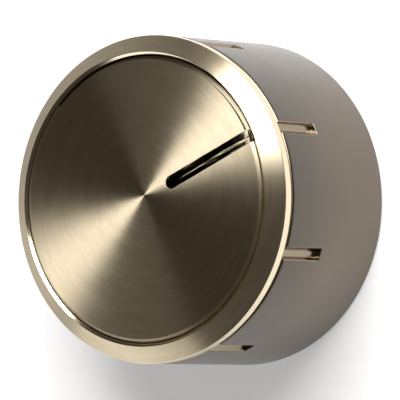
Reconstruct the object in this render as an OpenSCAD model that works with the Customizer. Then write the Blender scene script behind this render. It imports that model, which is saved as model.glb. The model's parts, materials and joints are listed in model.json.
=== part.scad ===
// Push-on control knob for a cooker, standing on its back rim with its face up.
// Z is the axis of the shaft. The pointer and the flat of the shaft are on the +Y side.

/* [Overall] */
// Outside diameter of the body and of the lip
knob_d = 50; // [48:0.5:56]
// Height from the back rim to the flat face
knob_h = 28.2; // [27.6:0.1:34]

/* [Front ring] */
// Height of the plain polished lip
lip_h = 1.45; // [1:0.05:1.8]
// How far the bevel runs in from the lip
bevel_w = 2.6; // [2:0.1:2.7]
// How far the bevel drops from the face to the lip
bevel_drop = 1.9; // [1.4:0.1:2]
// Height of the shadow gap behind the lip
gap_h = 0.5; // [0.3:0.05:0.8]
// Depth of the shadow gap, measured in from the lip
gap_depth = 0.8; // [0.5:0.05:1]

/* [Face disc] */
// Thickness of the brushed disc
disc_t = 1; // [0.8:0.1:1.2]
// Width of the sloped edge, on the disc and on the ring around it
edge_w = 0.45; // [0.3:0.05:0.6]
// Drop of the sloped edge
edge_drop = 0.35; // [0.2:0.05:0.5]
// Open slit between the disc and the ring
slit_w = 0.2; // [0.1:0.05:0.3]
// Thickness of the adhesive film under the disc
film_t = 0.2; // [0.1:0.05:0.3]
// Width of the pointer groove
pointer_w = 1.8; // [1.2:0.1:2.2]
// Depth of the pointer groove
pointer_depth = 0.55; // [0.3:0.05:0.65]
// Distance from the centre to the rounded inner end of the pointer
pointer_start = 4.9; // [3:0.1:8]

/* [Body] */
// Thickness of the body's side wall
wall = 2.4; // [2:0.1:2.6]
// Thickness of the front wall behind the disc
web_t = 2.4; // [2:0.1:2.6]
// Number of grip grooves around the side
grooves = 8; // [4:1:12]
// Width of a grip groove
groove_w = 2; // [1.4:0.1:2.4]
// Length of a grip groove, from the front edge of the side
groove_l = 9.4; // [6:0.1:12]
// Rounding of the side's front edge
front_round = 0.5; // [0.3:0.05:0.6]
// Rounding of the back rim
rim_round = 0.4; // [0.2:0.05:0.6]

/* [Hub] */
// Diameter of the shaft that the knob is pushed on
shaft_d = 8; // [7.5:0.1:8.2]
// Distance from the shaft's axis to its flat
shaft_flat = 2.5; // [2.4:0.05:2.6]
// Outside diameter of the boss
boss_d = 13; // [12.8:0.1:13.4]
// How far the boss stays behind the back rim
boss_setback = 2; // [1.5:0.1:2.2]
// Height of the hub's plate above the back rim
plate_z = 19; // [18.6:0.1:19.2]
// Thickness of the hub's plate
plate_t = 2; // [1.8:0.1:2.2]
// Number of ribs between the boss and the outer wall
ribs = 4; // [3:1:4]
// Thickness of a rib
rib_t = 1.6; // [1.2:0.1:2]

/* [Screws] */
// Diameter of the screws' shank
screw_d = 2.6; // [2.4:0.1:2.8]
// Distance of the screws from the centre
screw_radius = 15; // [14.6:0.1:15.4]

/* [Hidden] */
$fn = 180;

knob_r = knob_d / 2;
over = 1;            // how far a cutter runs past what it cuts
bevel_r = knob_r - bevel_w;
lip_top = knob_h - bevel_drop;
lip_back = lip_top - lip_h;
lip_break = 0.12;    // small flat on the lip's two edges

disc_r = bevel_r - edge_w - slit_w;
disc_flat_r = disc_r - edge_w;
disc_z = knob_h - disc_t;
film_z = disc_z - film_t;
film_r = disc_r - 0.8;
ring_bore = bevel_r - edge_w;
pointer_r = (pow(pointer_w / 2, 2) + pow(pointer_depth, 2)) / (2 * pointer_depth);

side_top = lip_back - gap_h;
web_z = film_z - web_t;
spigot_break = 0.3;
cavity_r = knob_r - wall;
cavity_draft = 0.1;  // the cavity narrows by this much towards the front
cavity_slope = 2.2;  // sloped corner between the side wall and the front wall
post_r = 3;
pilot_depth = 4.6;

hub_gap = 0.2;
hub_r = cavity_r - cavity_draft - hub_gap;
hub_wall = 1.8;
hub_low = 5;         // lower edge of the hub's outer wall
boss_r = boss_d / 2;
bore_r = shaft_d / 2 + 0.05;
flat_y = shaft_flat + 0.05;
lead_r = shaft_d / 2 + 0.25;
lead_flare = 0.5;
lead_z = boss_setback + 3;
rib_low_in = 8;
rib_low_out = 6.4;

leaf_t = 0.3;
leaf_w = 4.8;
leaf_l = 11.6;
leaf_press = 0.3;    // how far the leaf stands into the shaft's flat
pocket_gap = 0.2;
pocket_y = 3.4;
pocket_z = lead_z + 1;
leaf_bow = pocket_y - flat_y + leaf_press - leaf_t;
leaf_r = (pow(leaf_l / 2, 2) + pow(leaf_bow, 2)) / (2 * leaf_bow);

band_t = 0.7;
band_h = 4.2;
band_z = boss_setback + 0.8;

pad_r = 3.4;
pad_t = 1.2;
head_r = 2.7;
head_h = 1.8;
head_crown = 0.6;
seat_z = plate_z - pad_t;
screw_tip = 1;
screw_l = plate_z + plate_t + pilot_depth - 0.4 - seat_z;
recess_l = 2.6;
recess_w = 0.6;
recess_depth = 0.9;

steel = "#8f8878";
satin = "#8d7f6c";
plastic = "#2c2b29";
bright = "#b9b4a8";

// Points of a round edge about [x, y], from angle a to angle b
function arc(x, y, r, a, b, steps = 8) =
    [for (i = [0 : steps]) let (t = a + (b - a) * i / steps) [x + r * cos(t), y + r * sin(t)]];

module around(count, radius, first = 0) {
    for (i = [0 : count - 1]) rotate(first + i * 360 / count) translate([radius, 0, 0]) children();
}

// Half section of the body: the outside first, then the cavity
module body_section() {
    polygon(concat(
        arc(knob_r - rim_round, rim_round, rim_round, -90, 0),
        arc(knob_r - front_round, side_top - front_round, front_round, 0, 90),
        [[knob_r - gap_depth, side_top],
         [knob_r - gap_depth, lip_back],
         [ring_bore, lip_back],
         [ring_bore, film_z - spigot_break],
         [ring_bore - spigot_break, film_z],
         [0, film_z],
         [0, web_z],
         [cavity_r - cavity_draft - cavity_slope, web_z],
         [cavity_r - cavity_draft, web_z - cavity_slope],
         [cavity_r, rim_round],
         [cavity_r + rim_round, 0]]));
}

// A round-bottomed groove that starts at the front edge and ends in a flat wall
module grip_groove() {
    translate([0, 0, side_top - groove_l]) cylinder(d = groove_w, h = groove_l + over);
}

module body_shell() {
    color(satin)
    difference() {
        union() {
            rotate_extrude() body_section();
            around(4, screw_radius, 45)
                translate([0, 0, plate_z + plate_t])
                    cylinder(r = post_r, h = web_z - plate_z - plate_t + over);
        }
        around(grooves, knob_r, 90) grip_groove();
        around(4, screw_radius, 45)
            translate([0, 0, plate_z + plate_t]) cylinder(d = screw_d, h = pilot_depth);
    }
}

module bezel_ring() {
    color(steel)
    rotate_extrude()
        polygon([
            [ring_bore, lip_back],
            [knob_r - lip_break, lip_back],
            [knob_r, lip_back + lip_break],
            [knob_r, lip_top - lip_break],
            [knob_r - lip_break, lip_top + lip_break * bevel_drop / bevel_w],
            [bevel_r, knob_h],
            [ring_bore, knob_h - edge_drop]]);
}

// The pointer is cut by a round-nosed tool that runs out over the edge
module pointer_cut() {
    translate([0, 0, knob_h - pointer_depth + pointer_r]) {
        inner = pointer_start + pointer_w / 2;
        translate([0, inner, 0]) rotate([-90, 0, 0]) cylinder(r = pointer_r, h = knob_r);
        translate([0, inner, 0]) sphere(r = pointer_r);
    }
}

module face_disc() {
    color(steel)
    difference() {
        rotate_extrude()
            polygon([
                [0, disc_z],
                [disc_r, disc_z],
                [disc_r, knob_h - edge_drop],
                [disc_flat_r, knob_h],
                [0, knob_h]]);
        pointer_cut();
    }
}

module disc_adhesive() {
    color("#d8d2c2")
    translate([0, 0, film_z]) cylinder(r = film_r, h = film_t);
}

module rib() {
    rotate([90, 0, 0])
        translate([0, 0, -rib_t / 2])
            linear_extrude(rib_t)
                polygon([
                    [boss_r - 0.5, rib_low_in],
                    [hub_r - hub_wall + 0.3, rib_low_out],
                    [hub_r - hub_wall + 0.3, plate_z + 0.5],
                    [boss_r - 0.5, plate_z + 0.5]]);
}

// The hole for the shaft: a round mouth first, then a bore with one flat
module shaft_hole() {
    translate([0, 0, boss_setback - over]) cylinder(r = lead_r, h = lead_z - boss_setback + over);
    translate([0, 0, boss_setback]) cylinder(r1 = lead_r + lead_flare, r2 = lead_r, h = lead_flare);
    intersection() {
        translate([0, 0, lead_z - over / 2]) cylinder(r = bore_r, h = plate_z - lead_z + over / 2);
        translate([-knob_r, flat_y - knob_d, 0]) cube([knob_d, knob_d, knob_h]);
    }
    translate([-leaf_w / 2 - pocket_gap, 0, pocket_z])
        cube([leaf_w + 2 * pocket_gap, pocket_y, leaf_l + 2 * pocket_gap]);
}

module inner_hub() {
    color(plastic)
    difference() {
        union() {
            translate([0, 0, plate_z]) cylinder(r = hub_r, h = plate_t);
            difference() {
                translate([0, 0, hub_low]) cylinder(r = hub_r, h = plate_z + plate_t - hub_low);
                translate([0, 0, hub_low - over])
                    cylinder(r = hub_r - hub_wall, h = plate_z - hub_low + 1.5 * over);
            }
            translate([0, 0, boss_setback]) cylinder(r = boss_r, h = plate_z - boss_setback + over);
            around(ribs, 0) rib();
            around(4, screw_radius, 45)
                translate([0, 0, seat_z]) cylinder(r = pad_r, h = pad_t + over);
        }
        shaft_hole();
        around(4, screw_radius, 45)
            translate([0, 0, seat_z - over])
                cylinder(d = screw_d + 0.6, h = pad_t + plate_t + 2 * over);
    }
}

// A bowed strip in a pocket of the bore, which presses on the flat of the shaft
module shaft_spring() {
    color(bright)
    intersection() {
        translate([-leaf_w / 2, pocket_y - leaf_bow + leaf_r, pocket_z + pocket_gap + leaf_l / 2])
            rotate([0, 90, 0])
                difference() {
                    cylinder(r = leaf_r + leaf_t, h = leaf_w);
                    translate([0, 0, -over]) cylinder(r = leaf_r, h = leaf_w + 2 * over);
                }
        translate([-leaf_w, 0, pocket_z + pocket_gap]) cube([2 * leaf_w, pocket_y, leaf_l]);
    }
}

module boss_ring() {
    color(bright)
    translate([0, 0, band_z])
        difference() {
            cylinder(r = boss_r + band_t, h = band_h);
            translate([0, 0, -over]) cylinder(r = boss_r, h = band_h + 2 * over);
        }
}

module screw() {
    difference() {
        rotate_extrude()
            polygon(concat(
                [[0, seat_z - head_h]],
                arc(head_r - head_crown, seat_z - head_h + head_crown, head_crown, -90, 0, 5),
                [[head_r, seat_z],
                 [screw_d / 2, seat_z],
                 [screw_d / 2, seat_z + screw_l - screw_tip],
                 [screw_d / 6, seat_z + screw_l],
                 [0, seat_z + screw_l]]));
        for (turn = [0, 90])
            rotate(turn)
                translate([-recess_l / 2, -recess_w / 2, seat_z - head_h - over])
                    cube([recess_l, recess_w, recess_depth + over]);
    }
}

module hub_screws() {
    color(bright)
    around(4, screw_radius, 45) screw();
}

body_shell();
bezel_ring();
face_disc();
disc_adhesive();
inner_hub();
shaft_spring();
boss_ring();
hub_screws();
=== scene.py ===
# Cooker knob with a brushed face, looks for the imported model
# it stands on its back rim, face up, pointer towards +Y
import json
import math

import bmesh
import bpy
from mathutils import Matrix, Vector

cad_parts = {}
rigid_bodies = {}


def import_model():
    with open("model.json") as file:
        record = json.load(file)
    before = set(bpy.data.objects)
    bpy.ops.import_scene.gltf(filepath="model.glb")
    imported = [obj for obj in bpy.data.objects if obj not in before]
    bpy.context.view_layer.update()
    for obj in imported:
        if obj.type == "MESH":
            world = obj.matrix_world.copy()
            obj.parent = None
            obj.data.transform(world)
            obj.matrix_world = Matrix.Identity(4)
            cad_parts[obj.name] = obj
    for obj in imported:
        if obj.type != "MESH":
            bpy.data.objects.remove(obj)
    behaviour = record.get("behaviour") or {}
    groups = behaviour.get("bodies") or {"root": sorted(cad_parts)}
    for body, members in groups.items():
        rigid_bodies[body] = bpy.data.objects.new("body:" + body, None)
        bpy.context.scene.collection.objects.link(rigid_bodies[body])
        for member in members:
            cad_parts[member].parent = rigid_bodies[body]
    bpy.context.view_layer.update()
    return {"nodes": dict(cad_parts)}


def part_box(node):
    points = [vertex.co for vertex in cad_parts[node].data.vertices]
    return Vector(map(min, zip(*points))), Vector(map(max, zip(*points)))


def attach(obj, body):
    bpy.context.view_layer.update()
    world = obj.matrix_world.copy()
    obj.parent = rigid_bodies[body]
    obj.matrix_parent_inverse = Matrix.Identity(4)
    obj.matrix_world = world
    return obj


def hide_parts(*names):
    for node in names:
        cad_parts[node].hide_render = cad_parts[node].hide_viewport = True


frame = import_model()
mm = 0.001
print("frame loaded:", ", ".join(sorted(frame["nodes"])))

bodyLow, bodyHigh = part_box("body_shell")
ringLow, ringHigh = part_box("bezel_ring")
discLow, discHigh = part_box("face_disc")
hubLow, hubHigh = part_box("inner_hub")


# small helpers for outlines and meshes

def roundedOutline(corners, steps=6, support=0.04 * mm):
    # each corner is (x, y, radius); a round corner gets an arc with a close point before and after it
    points = []
    for i, (x, y, radius) in enumerate(corners):
        here = Vector((x, y))
        if radius == 0 or i in (0, len(corners) - 1):
            points.append(here)
            continue
        toLast = (Vector(corners[i - 1][:2]) - here).normalized()
        toNext = (Vector(corners[i + 1][:2]) - here).normalized()
        half = toLast.angle(toNext) / 2
        reach = radius / math.tan(half)
        centre = here + (toLast + toNext).normalized() * radius / math.sin(half)
        points.append(here + toLast * (reach + support))
        start = here + toLast * reach - centre
        turn = (here + toNext * reach - centre).angle_signed(start)
        for k in range(steps + 1):
            points.append(centre + Matrix.Rotation(turn * k / steps, 2) @ start)
        points.append(here + toNext * (reach + support))
    return [tuple(p) for p in points]


def cutProfile(arcRadius, depth, mouthRound, mouthSteps=5, arcSteps=9):
    # half section of a round-bottomed groove, from the rounded mouth to the middle, as (offset, depth)
    rise = arcRadius - depth
    centre = math.sqrt((arcRadius + mouthRound) ** 2 - (mouthRound + rise) ** 2)
    meet = math.asin(centre / (arcRadius + mouthRound))
    points = []
    for k in range(mouthSteps + 1):
        turn = meet * k / mouthSteps
        points.append((centre - mouthRound * math.sin(turn), mouthRound * (1 - math.cos(turn))))
    for k in range(1, arcSteps + 1):
        turn = meet * (1 - k / arcSteps)
        points.append((arcRadius * math.sin(turn), arcRadius * math.cos(turn) - rise))
    return points


def meshFrom(name, points, faces, mergeWithin=0.002 * mm):
    mesh = bpy.data.meshes.new(name)
    work = bmesh.new()
    corners = [work.verts.new(p) for p in points]
    for face in faces:
        ring = []
        for i in face:
            if corners[i] not in ring:
                ring.append(corners[i])
        if len(ring) > 2 and not work.faces.get(ring):
            work.faces.new(ring)
    bmesh.ops.remove_doubles(work, verts=work.verts, dist=mergeWithin)
    bmesh.ops.dissolve_degenerate(work, edges=work.edges, dist=mergeWithin)
    bmesh.ops.recalc_face_normals(work, faces=work.faces)
    work.to_mesh(mesh)
    work.free()
    return mesh


def gridFaces(rows, columns, closed=False):
    faces = []
    for i in range(rows - 1):
        for j in range(columns if closed else columns - 1):
            k = (j + 1) % columns
            faces.append((i * columns + j, i * columns + k, (i + 1) * columns + k, (i + 1) * columns + j))
    return faces


def revolve(name, outline, steps):
    points = []
    for r, z in outline:
        for j in range(steps):
            turn = 2 * math.pi * j / steps
            points.append((r * math.cos(turn), r * math.sin(turn), z))
    return meshFrom(name, points, gridFaces(len(outline), steps, closed=True))


def addPiece(name, mesh, materials, node, sharpAbove=32):
    mesh.shade_smooth()
    mesh.set_sharp_from_angle(angle=math.radians(sharpAbove))
    piece = bpy.data.objects.new(name, mesh)
    bpy.context.scene.collection.objects.link(piece)
    for material in materials:
        mesh.materials.append(material)
    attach(piece, "root")
    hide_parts(node)
    return piece


# small helpers for node trees

def addNode(tree, kind, at, **settings):
    node = tree.nodes.new(kind)
    node.location = at
    for key, value in settings.items():
        setattr(node, key, value)
    return node


def feed(tree, source, target):
    # a source is a socket, or a plain value for the target's own field
    if isinstance(source, bpy.types.NodeSocket):
        tree.links.new(source, target)
    else:
        target.default_value = source


def mathNode(tree, operation, a, b=0.0, at=(0, 0), clamp=False):
    node = addNode(tree, "ShaderNodeMath", at, operation=operation, use_clamp=clamp)
    feed(tree, a, node.inputs[0])
    feed(tree, b, node.inputs[1])
    return node.outputs[0]


def vectorNode(tree, operation, a, b=(0.0, 0.0, 0.0), at=(0, 0)):
    node = addNode(tree, "ShaderNodeVectorMath", at, operation=operation)
    feed(tree, a, node.inputs[0])
    feed(tree, b, node.inputs[1])
    return node.outputs["Value" if operation in ("DOT_PRODUCT", "LENGTH") else "Vector"]


def rangeNode(tree, value, low, high, toLow, toHigh, at=(0, 0), smooth=False):
    node = addNode(tree, "ShaderNodeMapRange", at, clamp=True)
    node.interpolation_type = "SMOOTHSTEP" if smooth else "LINEAR"
    feed(tree, value, node.inputs[0])
    for socket, number in zip(node.inputs[1:5], (low, high, toLow, toHigh)):
        feed(tree, number, socket)
    return node.outputs[0]


def mixColour(tree, factor, a, b, at=(0, 0)):
    node = addNode(tree, "ShaderNodeMix", at, data_type="RGBA")
    feed(tree, factor, node.inputs["Factor"])
    feed(tree, a, node.inputs[6])
    feed(tree, b, node.inputs[7])
    return node.outputs[2]


def noiseNode(tree, vector, scale, detail=2.0, roughness=0.5, at=(0, 0)):
    node = addNode(tree, "ShaderNodeTexNoise", at)
    feed(tree, vector, node.inputs["Vector"])
    node.inputs["Scale"].default_value = scale
    node.inputs["Detail"].default_value = detail
    node.inputs["Roughness"].default_value = roughness
    return node.outputs[0]


def newGroup(name, inputs, outputs):
    tree = bpy.data.node_groups.new(name, "ShaderNodeTree")
    for label, kind, default in inputs:
        socket = tree.interface.new_socket(label, in_out="INPUT", socket_type=kind)
        if default is not None:
            socket.default_value = default
    for label, kind in outputs:
        tree.interface.new_socket(label, in_out="OUTPUT", socket_type=kind)
    return tree, addNode(tree, "NodeGroupInput", (-900, 0)), addNode(tree, "NodeGroupOutput", (900, 0))


def placeGroup(tree, group, at, **values):
    node = addNode(tree, "ShaderNodeGroup", at, node_tree=group)
    for label, value in values.items():
        feed(tree, value, node.inputs[label])
    return node


def newMaterial(name):
    material = bpy.data.materials.new(name)
    material.use_nodes = True
    tree = material.node_tree
    return material, tree, tree.nodes["Principled BSDF"]


def setShader(shader, **values):
    for label, value in values.items():
        shader.inputs[label.replace("_", " ")].default_value = value


# effects that several finishes use

def turningLinesGroup():
    # rings left by a turning or brushing tool round a centre: Lines is 0 to 1
    tree, given, out = newGroup(
        "turningLines",
        [("Vector", "NodeSocketVector", None), ("Centre", "NodeSocketVector", (0, 0, 0)),
         ("Lines per metre", "NodeSocketFloat", 9000.0), ("Sweep", "NodeSocketFloat", 3.0)],
        [("Lines", "NodeSocketFloat"), ("Bands", "NodeSocketFloat")])
    away = vectorNode(tree, "SUBTRACT", given.outputs["Vector"], given.outputs["Centre"], (-700, 100))
    flat = vectorNode(tree, "MULTIPLY", away, (1.0, 1.0, 0.0), (-550, 100))
    radius = vectorNode(tree, "LENGTH", flat, at=(-400, 200))
    compass = vectorNode(tree, "NORMALIZE", flat, at=(-400, 0))
    around = addNode(tree, "ShaderNodeSeparateXYZ", (-250, 0))
    feed(tree, compass, around.inputs[0])
    for label, share, detail, row in (("Lines", 1.0, 3.0, 0), ("Bands", 0.09, 2.0, 1)):
        density = mathNode(tree, "MULTIPLY", given.outputs["Lines per metre"], share, (-250, 300 - 300 * row))
        across = mathNode(tree, "MULTIPLY", radius, density, (-100, 300 - 300 * row))
        joined = addNode(tree, "ShaderNodeCombineXYZ", (200, 200 - 300 * row))
        feed(tree, across, joined.inputs[0])
        for axis in (0, 1):
            swept = mathNode(tree, "MULTIPLY", around.outputs[axis], given.outputs["Sweep"], (50, 150 - 150 * axis))
            feed(tree, swept, joined.inputs[axis + 1])
        noise = noiseNode(tree, joined.outputs[0], 1.0, detail, 0.6, (400, 200 - 300 * row))
        feed(tree, noise, out.inputs[label])
    return tree


def handlingGroup():
    # soft cloudy marks of handling and plating, 0 to 1
    tree, given, out = newGroup(
        "handlingMarks",
        [("Vector", "NodeSocketVector", None), ("Spread", "NodeSocketFloat", 180.0)],
        [("Cloud", "NodeSocketFloat"), ("Grain", "NodeSocketFloat")])
    for label, scale, detail, row in (("Cloud", 1.0, 3.0, 0), ("Grain", 60.0, 2.0, 1)):
        size = mathNode(tree, "MULTIPLY", given.outputs["Spread"], scale, (-600, -250 * row))
        noise = addNode(tree, "ShaderNodeTexNoise", (-300, -250 * row))
        feed(tree, given.outputs["Vector"], noise.inputs["Vector"])
        feed(tree, size, noise.inputs["Scale"])
        noise.inputs["Detail"].default_value = detail
        feed(tree, noise.outputs[0], out.inputs[label])
    return tree


turningLines = turningLinesGroup()
handlingMarks = handlingGroup()
print("node groups built")

# the plated steel looks cream in white light
steelTint = {"high": (0.80, 0.69, 0.50, 1), "low": (0.62, 0.52, 0.36, 1)}


def brushedSteel(name, look):
    # steel brushed in circles: the gloss stretches across the brush lines
    material, tree, shader = newMaterial(name)
    place = addNode(tree, "ShaderNodeTexCoord", (-1500, 0)).outputs["Object"]
    centre = (look["centre"][0], look["centre"][1], 0.0)
    rings = placeGroup(tree, turningLines, (-1200, 200), Vector=place, Centre=centre,
                       **{"Lines per metre": look["linesPerMetre"], "Sweep": look["sweep"]})
    marks = placeGroup(tree, handlingMarks, (-1200, -200), Vector=place, Spread=look["marksSpread"])
    tone = mathNode(tree, "MULTIPLY", rings.outputs["Lines"], 0.65, (-900, 200))
    bands = mathNode(tree, "MULTIPLY", rings.outputs["Bands"], 0.35, (-900, 0))
    tone = mathNode(tree, "ADD", tone, bands, (-750, 200))
    tone = rangeNode(tree, tone, 0.32, 0.68, 0.0, 1.0, (-600, 200))
    colour = mixColour(tree, tone, look["low"], look["high"], (-400, 200))
    rough = rangeNode(tree, rings.outputs["Lines"], 0.3, 0.7, look["roughness"] - look["roughnessSpread"],
                      look["roughness"] + look["roughnessSpread"], (-600, -100))
    cloud = rangeNode(tree, marks.outputs["Cloud"], 0.35, 0.7, -0.02, 0.03, (-600, -350))
    rough = mathNode(tree, "ADD", rough, cloud, (-400, -100))
    feed(tree, colour, shader.inputs["Base Color"])
    feed(tree, rough, shader.inputs["Roughness"])
    bump = addNode(tree, "ShaderNodeBump", (-300, -500))
    bump.inputs["Strength"].default_value = look["bump"]
    bump.inputs["Distance"].default_value = 0.01 * mm
    feed(tree, rings.outputs["Lines"], bump.inputs["Height"])
    feed(tree, bump.outputs[0], shader.inputs["Normal"])
    # the gloss spreads along the spokes, across the brush lines
    spoke = vectorNode(tree, "SUBTRACT", place, centre, (-900, -900))
    spoke = vectorNode(tree, "MULTIPLY", spoke, (1.0, 1.0, 0.0), (-700, -900))
    feed(tree, vectorNode(tree, "NORMALIZE", spoke, at=(-500, -900)), shader.inputs["Tangent"])
    setShader(shader, Metallic=1.0, Anisotropic=look["anisotropic"])
    return material


def polishedSteel(name, look):
    material, tree, shader = newMaterial(name)
    place = addNode(tree, "ShaderNodeTexCoord", (-900, 0)).outputs["Object"]
    marks = placeGroup(tree, handlingMarks, (-700, 0), Vector=place, Spread=look["marksSpread"])
    feed(tree, mixColour(tree, marks.outputs["Cloud"], look["low"], look["high"], (-300, 200)),
         shader.inputs["Base Color"])
    feed(tree, rangeNode(tree, marks.outputs["Cloud"], 0.3, 0.7, look["roughness"] * 0.8,
                         look["roughness"] * 1.25, (-300, 0)), shader.inputs["Roughness"])
    setShader(shader, Metallic=1.0)
    return material


def satinPlating(name, look):
    material, tree, shader = newMaterial(name)
    place = addNode(tree, "ShaderNodeTexCoord", (-1100, 0)).outputs["Object"]
    marks = placeGroup(tree, handlingMarks, (-900, 0), Vector=place, Spread=look["marksSpread"])
    # painted shade: the side's colour is mixed from pale to dark going up towards the front lip, standing in for the
    # dimmer reflections there
    height = addNode(tree, "ShaderNodeSeparateXYZ", (-900, 300))
    feed(tree, place, height.inputs[0])
    rise = rangeNode(tree, height.outputs[2], look["paleBelow"], look["darkAbove"], 0.0, 1.0, (-700, 300), smooth=True)
    colour = mixColour(tree, rise, look["pale"], look["dark"], (-500, 300))
    cloud = rangeNode(tree, marks.outputs["Cloud"], 0.3, 0.7, 0.0, look["cloudShare"], (-700, 0))
    colour = mixColour(tree, cloud, colour, look["cloud"], (-300, 300))
    feed(tree, colour, shader.inputs["Base Color"])
    rough = rangeNode(tree, marks.outputs["Cloud"], 0.3, 0.7, look["roughness"] - 0.03,
                      look["roughness"] + 0.04, (-300, 0))
    feed(tree, rough, shader.inputs["Roughness"])
    bump = addNode(tree, "ShaderNodeBump", (-300, -300))
    bump.inputs["Strength"].default_value = look["bump"]
    bump.inputs["Distance"].default_value = 0.01 * mm
    feed(tree, marks.outputs["Grain"], bump.inputs["Height"])
    feed(tree, bump.outputs[0], shader.inputs["Normal"])
    setShader(shader, Metallic=look["metallic"], Coat_Weight=look["coat"], Coat_Roughness=look["coatRoughness"])
    return material


def mouldedPlastic(name, look):
    material, tree, shader = newMaterial(name)
    place = addNode(tree, "ShaderNodeTexCoord", (-900, 0)).outputs["Object"]
    marks = placeGroup(tree, handlingMarks, (-700, 0), Vector=place, Spread=look["marksSpread"])
    feed(tree, mixColour(tree, marks.outputs["Cloud"], look["low"], look["high"], (-300, 200)),
         shader.inputs["Base Color"])
    feed(tree, rangeNode(tree, marks.outputs["Cloud"], 0.3, 0.7, look["roughness"] - 0.05,
                         look["roughness"] + 0.05, (-300, 0)), shader.inputs["Roughness"])
    bump = addNode(tree, "ShaderNodeBump", (-300, -300))
    bump.inputs["Strength"].default_value = look["bump"]
    bump.inputs["Distance"].default_value = 0.02 * mm
    feed(tree, marks.outputs["Grain"], bump.inputs["Height"])
    feed(tree, bump.outputs[0], shader.inputs["Normal"])
    return material


# face disc: brushed in circles, with a round-bottomed pointer that runs out over its edge

faceDisc = {
    "top": discHigh.z,
    "bottom": discLow.z,
    "radius": discHigh.x,
    "edgeWidth": 0.45 * mm,
    "edgeDrop": 0.35 * mm,
    "edgeRound": 0.06 * mm,
    "pointerWidth": 1.8 * mm,
    "pointerDepth": 0.55 * mm,
    "pointerStart": 4.9 * mm,
    "pointerRound": 0.12 * mm,
    "support": 0.06 * mm,
    "endSteps": 28,
    "straightSteps": 8,
    "rimSteps": 220,
    "look": {
        "high": steelTint["high"],
        "low": steelTint["low"],
        "centre": (-0.4 * mm, 0.5 * mm),
        "linesPerMetre": 9000.0,
        "sweep": 3.0,
        "marksSpread": 90.0,
        "roughness": 0.44,
        "roughnessSpread": 0.03,
        "anisotropic": 0.94,
        "bump": 0.15,
    },
}


def faceDiscMesh(sizes):
    top, radius = sizes["top"], sizes["radius"]
    half, deep = sizes["pointerWidth"] / 2, sizes["pointerDepth"]
    profile = cutProfile((half**2 + deep**2) / (2 * deep), deep, sizes["pointerRound"])
    profile = [(profile[0][0] + sizes["support"], 0.0)] + profile
    inner = sizes["pointerStart"] + half
    edge = roundedOutline([
        (radius - sizes["edgeWidth"] - 1 * mm, top, 0),
        (radius - sizes["edgeWidth"], top, sizes["edgeRound"]),
        (radius, top - sizes["edgeDrop"], sizes["edgeRound"]),
        (radius, sizes["bottom"], 0)])[1:]
    count = sizes["straightSteps"]
    straight = [inner + (edge[0][0] - inner) * k / count for k in range(count)]
    points, faces = [], []

    # the pointer: lines of constant offset that run in, round the end and out again
    lines = []
    for offset, depth in profile:
        line = []
        for side in (1, -1):
            out = [(side * offset, math.sqrt(r * r - offset * offset), min(z, top - depth)) for r, z in edge]
            rows = [(side * offset, y, top - depth) for y in straight]
            line.append(rows + out)
        turn = []
        for k in range(1, sizes["endSteps"]):
            angle = math.pi * k / sizes["endSteps"]
            turn.append((offset * math.cos(angle), inner - offset * math.sin(angle), top - depth))
        lines.append(line[0][::-1] + turn + line[1])
    across = len(lines[0])
    for line in lines:
        points += line
    faces += gridFaces(len(lines), across)

    # the rim: every other column stands on a regular turn
    edgeCount = len(edge)
    mouth = profile[0][0]
    first = math.asin(mouth / edge[0][0])
    columns = []
    for j in range(sizes["rimSteps"] + 1):
        share = j / sizes["rimSteps"]
        column = []
        for i, (r, z) in enumerate(edge):
            if j in (0, sizes["rimSteps"]):
                side = 1 if j == 0 else -1
                column.append((side * mouth, math.sqrt(r * r - mouth * mouth), z))
            else:
                turn = math.pi / 2 - first - (2 * math.pi - 2 * first) * share
                column.append((r * math.cos(turn), r * math.sin(turn), z))
        columns.append(column)
    start = len(points)
    for column in columns:
        points += column
    faces += gridFaces(len(columns), edgeCount)

    # the flat face and the back, one face each
    rimStart = [start + j * edgeCount for j in range(len(columns))]
    pointerSide = list(range(edgeCount - 1, across - edgeCount + 1))
    faces.append(rimStart + pointerSide[::-1])
    under = [start + j * edgeCount + edgeCount - 1 for j in range(len(columns))]
    pointerUnder = [across * i for i in range(len(lines))]
    pointerUnder += [across * (i + 1) - 1 for i in range(len(lines))][::-1]
    faces.append(under + pointerUnder[::-1])
    return meshFrom("face_disc_brushed", points, faces)


# front ring: turned bevel, polished lip

bezelRing = {
    "radius": ringHigh.x,
    "top": ringHigh.z,
    "back": ringLow.z,
    "bore": discHigh.x + 0.2 * mm,
    "innerDrop": 0.35 * mm,
    "innerWidth": 0.45 * mm,
    "bevelWidth": 2.6 * mm,
    "bevelDrop": 1.9 * mm,
    "lipRound": 0.14 * mm,
    "edgeRound": 0.06 * mm,
    "steps": 360,
    "bevelLook": {
        "high": steelTint["high"],
        "low": steelTint["low"],
        "centre": (0.0, 0.0),
        "linesPerMetre": 12000.0,
        "sweep": 3.0,
        "marksSpread": 90.0,
        "roughness": 0.34,
        "roughnessSpread": 0.03,
        "anisotropic": 0.9,
        "bump": 0.1,
    },
    "lipLook": {"high": (0.84, 0.73, 0.54, 1), "low": (0.78, 0.67, 0.47, 1), "marksSpread": 120.0, "roughness": 0.14},
}


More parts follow.
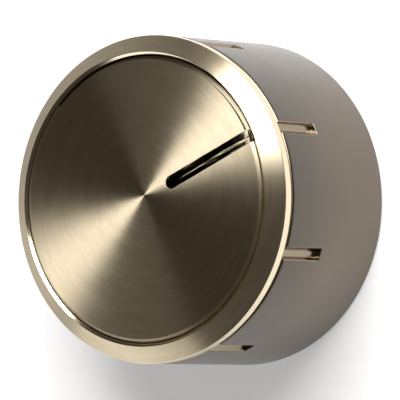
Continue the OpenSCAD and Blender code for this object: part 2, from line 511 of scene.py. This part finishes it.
def bezelRingMesh(sizes):
    bevelStart = sizes["radius"] - sizes["bevelWidth"]
    lipTop = sizes["top"] - sizes["bevelDrop"]
    corners = [
        (sizes["bore"], sizes["back"], 0),
        (sizes["radius"], sizes["back"], sizes["lipRound"]),
        (sizes["radius"], lipTop, sizes["lipRound"]),
        (bevelStart, sizes["top"], sizes["edgeRound"]),
        (bevelStart - sizes["innerWidth"], sizes["top"] - sizes["innerDrop"], sizes["edgeRound"]),
        (sizes["bore"], sizes["back"], 0)]
    mesh = revolve("bezel_ring_turned", roundedOutline(corners), sizes["steps"])
    slope = math.atan2(sizes["bevelDrop"], sizes["bevelWidth"])
    for face in mesh.polygons:
        radius = math.hypot(face.center.x, face.center.y)
        onBevel = abs(face.normal.z - math.cos(slope)) < 0.02 and radius > bevelStart
        face.material_index = 0 if onBevel else 1
    return mesh


# body: satin side with eight grooves, front wall, cavity and screw posts

bodyShell = {
    "radius": bodyHigh.x,
    "filmSeat": bodyHigh.z,
    "gapHeight": 0.5 * mm,
    "gapDepth": 0.8 * mm,
    "frontRound": 0.5 * mm,
    "rimRound": 0.4 * mm,
    "wall": 2.4 * mm,
    "web": 2.4 * mm,
    "draft": 0.1 * mm,
    "cornerSlope": 2.2 * mm,
    "grooveCount": 8,
    "grooveWidth": 1.86 * mm,
    "grooveLength": 9.4 * mm,
    "mouthRound": 0.3 * mm,
    "endRound": 0.15 * mm,
    "floorRound": 0.12 * mm,
    "roundSteps": 6,
    "spigotBreak": 0.3 * mm,
    "polishedBelow": 0.06 * mm,
    "plainColumns": 8,
    "postRadius": 3.0 * mm,
    "pilotRadius": 1.3 * mm,
    "postCircle": 15.0 * mm,
    "postCount": 4,
    "sideLook": {
        # pale to dark over the height band below is painted shade that darkens the side towards the front lip
        "pale": (0.15, 0.115, 0.082, 1),
        "dark": (0.08, 0.062, 0.044, 1),
        "cloud": (0.12, 0.095, 0.07, 1),
        "paleBelow": 9.0 * mm,
        "darkAbove": 24.0 * mm,
        "cloudShare": 0.35,
        "marksSpread": 70.0,
        "roughness": 0.4,
        "bump": 0.25,
        "metallic": 1.0,
        "coat": 0.6,
        "coatRoughness": 0.25,
    },
    "grooveLook": {"high": (0.34, 0.28, 0.2, 1), "low": (0.26, 0.21, 0.15, 1), "marksSpread": 120.0, "roughness": 0.22},
}


def bodySectorMesh(sizes):
    # one groove's share of the body, built as rows down the section and columns round it
    radius = sizes["radius"]
    sideTop = ringLow.z - sizes["gapHeight"]
    grooveEnd = sideTop - sizes["grooveLength"]
    reach = sizes["grooveWidth"] / 2
    profile = cutProfile(reach, reach, sizes["mouthRound"])
    sectorEdge = math.pi * radius / sizes["grooveCount"]
    mouth = profile[0][0] + 0.1 * mm
    count = sizes["plainColumns"]
    plain = [sectorEdge + (mouth - sectorEdge) * k / count for k in range(count + 1)]
    halfColumns = [(x, 0.0) for x in plain] + profile
    columns = [(-x, depth) for x, depth in halfColumns] + [(x, depth) for x, depth in halfColumns[-2::-1]]

    cavity = radius - sizes["wall"]
    spigot = bezelRing["bore"]
    webBack = sizes["filmSeat"] - sizes["web"]
    front = roundedOutline([
        (0.0, sizes["filmSeat"], 0),
        (spigot, sizes["filmSeat"], sizes["spigotBreak"]),
        (spigot, ringLow.z, 0),
        (radius - sizes["gapDepth"], ringLow.z, 0),
        (radius - sizes["gapDepth"], sideTop, 0),
        (radius, sideTop, sizes["frontRound"]),
        (radius, sideTop - 2 * sizes["frontRound"], 0)])
    rows = [(r, z, 1.0) for r, z in front]

    # down the groove, then up its end wall and over the edge, as the deepest cut that each row allows
    floor, edge = sizes["floorRound"], sizes["endRound"]
    for k in range(sizes["roundSteps"] + 1):
        turn = math.pi / 2 * k / sizes["roundSteps"]
        rows.append((radius, grooveEnd + floor * (1 - math.sin(turn)), reach - floor * (1 - math.cos(turn))))
    for k in range(sizes["roundSteps"] + 1):
        turn = math.pi / 2 * k / sizes["roundSteps"]
        rows.append((radius, grooveEnd - edge * (1 - math.cos(turn)), edge * (1 - math.sin(turn))))
    rows.append((radius, grooveEnd - edge - 0.05 * mm, 0.0))
    back = roundedOutline([
        (radius, grooveEnd - 1 * mm, 0),
        (radius, 0.0, sizes["rimRound"]),
        (cavity, 0.0, sizes["rimRound"]),
        (cavity - sizes["draft"], webBack - sizes["cornerSlope"], 0),
        (cavity - sizes["draft"] - sizes["cornerSlope"], webBack, 0),
        (0.0, webBack, 0)])
    rows += [(r, z, 0.0) for r, z in back]

    points = []
    for r, z, deepest in rows:
        for x, depth in columns:
            here = min(r, radius - min(depth, deepest)) if r > spigot else r
            turn = math.pi / 2 - x / radius
            points.append((here * math.cos(turn), here * math.sin(turn), z))
    return meshFrom("body_sector", points, gridFaces(len(rows), len(columns)))


def screwPostMesh(sizes):
    top = sizes["filmSeat"] - sizes["web"] + 0.2 * mm
    outline = roundedOutline([
        (0.0, top, 0), (sizes["postRadius"], top, 0), (sizes["postRadius"], hubHigh.z, 0.2 * mm),
        (sizes["pilotRadius"], hubHigh.z, 0.2 * mm), (sizes["pilotRadius"], top - 0.5 * mm, 0),
        (0.0, top - 0.5 * mm, 0)])
    return revolve("screw_post", outline, 32)


def arrayTree():
    # repeats a shape round the axis, joins what meets and gives it a material
    tree = bpy.data.node_groups.new("repeatRoundAxis", "GeometryNodeTree")
    for label, kind, default in (
            ("Geometry", "NodeSocketGeometry", None), ("Count", "NodeSocketInt", 8),
            ("Distance", "NodeSocketFloat", 0.0), ("First Turn", "NodeSocketFloat", 0.0),
            ("Merge Within", "NodeSocketFloat", 0.002 * mm), ("Material", "NodeSocketMaterial", None)):
        socket = tree.interface.new_socket(label, in_out="INPUT", socket_type=kind)
        if default is not None:
            socket.default_value = default
    tree.interface.new_socket("Geometry", in_out="OUTPUT", socket_type="NodeSocketGeometry")
    given = addNode(tree, "NodeGroupInput", (-900, 0))
    out = addNode(tree, "NodeGroupOutput", (900, 0))
    spots = addNode(tree, "GeometryNodeMeshLine", (-700, 200))
    spots.inputs["Offset"].default_value = (0.0, 0.0, 0.0)
    feed(tree, given.outputs["Count"], spots.inputs["Count"])
    index = addNode(tree, "GeometryNodeInputIndex", (-900, -300)).outputs[0]
    step = mathNode(tree, "DIVIDE", 2 * math.pi, given.outputs["Count"], (-700, -300))
    turn = mathNode(tree, "MULTIPLY", index, step, (-550, -300))
    turn = mathNode(tree, "ADD", turn, given.outputs["First Turn"], (-400, -300))
    angles = addNode(tree, "ShaderNodeCombineXYZ", (-250, -300))
    feed(tree, turn, angles.inputs[2])
    shifted = addNode(tree, "GeometryNodeTransform", (-500, 0))
    offset = addNode(tree, "ShaderNodeCombineXYZ", (-700, -50))
    feed(tree, given.outputs["Distance"], offset.inputs[0])
    feed(tree, given.outputs["Geometry"], shifted.inputs["Geometry"])
    feed(tree, offset.outputs[0], shifted.inputs["Translation"])
    copies = addNode(tree, "GeometryNodeInstanceOnPoints", (0, 100))
    feed(tree, spots.outputs[0], copies.inputs["Points"])
    feed(tree, shifted.outputs[0], copies.inputs["Instance"])
    feed(tree, angles.outputs[0], copies.inputs["Rotation"])
    real = addNode(tree, "GeometryNodeRealizeInstances", (200, 100))
    feed(tree, copies.outputs[0], real.inputs[0])
    merged = addNode(tree, "GeometryNodeMergeByDistance", (400, 100))
    feed(tree, real.outputs[0], merged.inputs["Geometry"])
    feed(tree, given.outputs["Merge Within"], merged.inputs["Distance"])
    painted = addNode(tree, "GeometryNodeSetMaterial", (600, 100))
    feed(tree, merged.outputs[0], painted.inputs["Geometry"])
    feed(tree, given.outputs["Material"], painted.inputs["Material"])
    feed(tree, painted.outputs[0], out.inputs[0])
    return tree


repeatRoundAxis = arrayTree()


def repeated(mesh, **values):
    # runs the tree on a mesh and returns the result as a plain mesh
    holder = bpy.data.objects.new("holder", mesh)
    bpy.context.scene.collection.objects.link(holder)
    modifier = holder.modifiers.new("repeat", "NODES")
    modifier.node_group = repeatRoundAxis
    for item in repeatRoundAxis.interface.items_tree:
        label = item.name.replace(" ", "")
        if item.in_out == "INPUT" and label in values:
            modifier[item.identifier] = values[label]
    bpy.context.view_layer.update()
    ready = holder.evaluated_get(bpy.context.evaluated_depsgraph_get())
    result = bpy.data.meshes.new_from_object(ready)
    bpy.data.objects.remove(holder)
    return result


def bodyShellMesh(sizes, side, groove):
    shell = repeated(bodySectorMesh(sizes), Count=sizes["grooveCount"], Material=side)
    posts = repeated(screwPostMesh(sizes), Count=sizes["postCount"], Distance=sizes["postCircle"],
                     FirstTurn=math.pi / 4, Material=side)
    work = bmesh.new()
    for part in (shell, posts):
        work.from_mesh(part)
    bmesh.ops.dissolve_degenerate(work, edges=work.edges, dist=0.002 * mm)
    bmesh.ops.recalc_face_normals(work, faces=work.faces)
    mesh = bpy.data.meshes.new("body_shell_satin")
    work.to_mesh(mesh)
    work.free()
    mesh.materials.clear()
    grooveEnd = ringLow.z - sizes["gapHeight"] - sizes["grooveLength"] - sizes["endRound"]
    for face in mesh.polygons:
        deep = sizes["radius"] - math.hypot(face.center.x, face.center.y)
        alongGroove = grooveEnd < face.center.z < ringLow.z - sizes["gapHeight"]
        inGroove = alongGroove and sizes["polishedBelow"] < deep < sizes["wall"] / 2
        face.material_index = 1 if inGroove else 0
    return mesh


discFinish = brushedSteel("brushed_face", faceDisc["look"])
bevelFinish = brushedSteel("turned_bevel", bezelRing["bevelLook"])
lipFinish = polishedSteel("polished_lip", bezelRing["lipLook"])
sideFinish = satinPlating("satin_side", bodyShell["sideLook"])
grooveFinish = polishedSteel("groove_polish", bodyShell["grooveLook"])
print("metal finishes built")

disc = addPiece("face_disc_brushed", faceDiscMesh(faceDisc), [discFinish], "face_disc")
print("face disc:", len(disc.data.polygons), "faces")
bezel = addPiece("bezel_ring_turned", bezelRingMesh(bezelRing), [bevelFinish, lipFinish], "bezel_ring")
print("front ring:", len(bezel.data.polygons), "faces")
body = addPiece("body_shell_satin", bodyShellMesh(bodyShell, sideFinish, grooveFinish),
                [sideFinish, grooveFinish], "body_shell")
print("body:", len(body.data.polygons), "faces")

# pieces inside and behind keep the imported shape

innerLooks = {
    "inner_hub": mouldedPlastic("hub_plastic", {
        "high": (0.035, 0.034, 0.033, 1), "low": (0.022, 0.021, 0.021, 1),
        "marksSpread": 150.0, "roughness": 0.42, "bump": 0.3}),
    "disc_adhesive": mouldedPlastic("adhesive_film", {
        "high": (0.82, 0.8, 0.74, 1), "low": (0.76, 0.73, 0.66, 1),
        "marksSpread": 300.0, "roughness": 0.6, "bump": 0.2}),
    "shaft_spring": polishedSteel("spring_steel", {
        "high": (0.66, 0.65, 0.63, 1), "low": (0.55, 0.54, 0.52, 1), "marksSpread": 300.0, "roughness": 0.22}),
    "boss_ring": polishedSteel("band_steel", {
        "high": (0.68, 0.67, 0.64, 1), "low": (0.58, 0.57, 0.55, 1), "marksSpread": 260.0, "roughness": 0.28}),
    "hub_screws": polishedSteel("screw_zinc", {
        "high": (0.7, 0.69, 0.65, 1), "low": (0.58, 0.57, 0.54, 1), "marksSpread": 400.0, "roughness": 0.3}),
}
for nodeName, finish in innerLooks.items():
    node = frame["nodes"][nodeName]
    node.data.materials.clear()
    node.data.materials.append(finish)
print("inner pieces painted")

# studio: azimuths are turns from +X, elevations above the floor, in degrees

studio = {
    "floorSize": 3.0,
    "floorColour": (0.9, 0.9, 0.9, 1),
    "floorGlow": 0.35,
    "dome": (0.05, 0.042, 0.034, 1),
    "horizon": (1.0, 1.0, 1.0, 1),
    "horizonEnds": 0.05,
    "softboxes": [
        {"name": "key", "azimuth": 131.9, "elevation": 52, "distance": 0.6,
         "width": 0.42, "height": 0.34, "radiance": 10},
        {"name": "low", "azimuth": -61.1, "elevation": 12, "distance": 0.6,
         "width": 0.6, "height": 0.3, "radiance": 1.4},
    ],
}
cameraRig = {
    "azimuth": 61.526,
    "elevation": 54.906,
    "roll": -87.099,
    "distance": 0.9319,
    "aim": (0.089 * mm, 0.728 * mm, 14.1 * mm),
    "lens": 546.26,
}


def directionTo(azimuth, elevation):
    turn, rise = math.radians(azimuth), math.radians(elevation)
    return Vector((math.cos(turn) * math.cos(rise), math.sin(turn) * math.cos(rise), math.sin(rise)))


def addSoftbox(box, centre):
    light = bpy.data.lights.new(box["name"], "AREA")
    light.shape = "RECTANGLE"
    light.size, light.size_y = box["width"], box["height"]
    light.energy = box["radiance"] * math.pi * box["width"] * box["height"]
    lamp = bpy.data.objects.new(box["name"], light)
    away = directionTo(box["azimuth"], box["elevation"])
    lamp.location = centre + away * box["distance"]
    lamp.rotation_euler = away.to_track_quat("Z", "Y").to_euler()
    bpy.context.scene.collection.objects.link(lamp)
    return lamp


def addFloor():
    half = studio["floorSize"] / 2
    mesh = bpy.data.meshes.new("floor")
    mesh.from_pydata([(-half, -half, 0), (half, -half, 0), (half, half, 0), (-half, half, 0)], [], [(0, 1, 2, 3)])
    floor = bpy.data.objects.new("floor", mesh)
    bpy.context.scene.collection.objects.link(floor)
    material = bpy.data.materials.new("pale_floor")
    material.use_nodes = True
    tree = material.node_tree
    tree.nodes.clear()
    out = addNode(tree, "ShaderNodeOutputMaterial", (600, 0))
    paper = addNode(tree, "ShaderNodeBsdfDiffuse", (0, 100))
    paper.inputs["Color"].default_value = studio["floorColour"]
    rays = addNode(tree, "ShaderNodeLightPath", (-600, -100))
    seen = mathNode(tree, "MAXIMUM", rays.outputs["Is Camera Ray"], rays.outputs["Is Glossy Ray"], (-400, -100))
    seen = mathNode(tree, "MAXIMUM", seen, rays.outputs["Is Transmission Ray"], (-200, -100))
    glow = addNode(tree, "ShaderNodeEmission", (0, -100))
    glow.inputs["Color"].default_value = (1, 1, 1, 1)
    feed(tree, mathNode(tree, "MULTIPLY", seen, studio["floorGlow"], (-100, -250)), glow.inputs["Strength"])
    both = addNode(tree, "ShaderNodeAddShader", (300, 0))
    feed(tree, paper.outputs[0], both.inputs[0])
    feed(tree, glow.outputs[0], both.inputs[1])
    feed(tree, both.outputs[0], out.inputs["Surface"])
    mesh.materials.append(material)


def setWorld():
    # a pale band at the horizon and a dim ceiling above it
    world = bpy.data.worlds.new("studio")
    bpy.context.scene.world = world
    world.use_nodes = True
    tree = world.node_tree
    backdrop = tree.nodes["Background"]
    place = addNode(tree, "ShaderNodeTexCoord", (-900, 0))
    split = addNode(tree, "ShaderNodeSeparateXYZ", (-700, 0))
    feed(tree, place.outputs["Generated"], split.inputs[0])
    rise = rangeNode(tree, split.outputs[2], 0.02, studio["horizonEnds"] + 0.02, 0.0, 1.0, (-500, 0), smooth=True)
    feed(tree, mixColour(tree, rise, studio["horizon"], studio["dome"], (-250, 0)), backdrop.inputs["Color"])
    backdrop.inputs["Strength"].default_value = 1.0


def addCamera():
    lens = bpy.data.cameras.new("camera")
    lens.lens = cameraRig["lens"]
    lens.sensor_width = 36
    lens.clip_start, lens.clip_end = 0.01, 20
    camera = bpy.data.objects.new("camera", lens)
    away = directionTo(cameraRig["azimuth"], cameraRig["elevation"])
    camera.location = Vector(cameraRig["aim"]) + away * cameraRig["distance"]
    level = away.to_track_quat("Z", "Y").to_matrix()
    camera.rotation_euler = (level @ Matrix.Rotation(math.radians(cameraRig["roll"]), 3, "Z")).to_euler()
    bpy.context.scene.collection.objects.link(camera)
    bpy.context.scene.camera = camera


addFloor()
setWorld()
for box in studio["softboxes"]:
    addSoftbox(box, Vector((0, 0, 20 * mm)))
addCamera()
bpy.context.scene.view_settings.view_transform = "Standard"
print("studio ready")
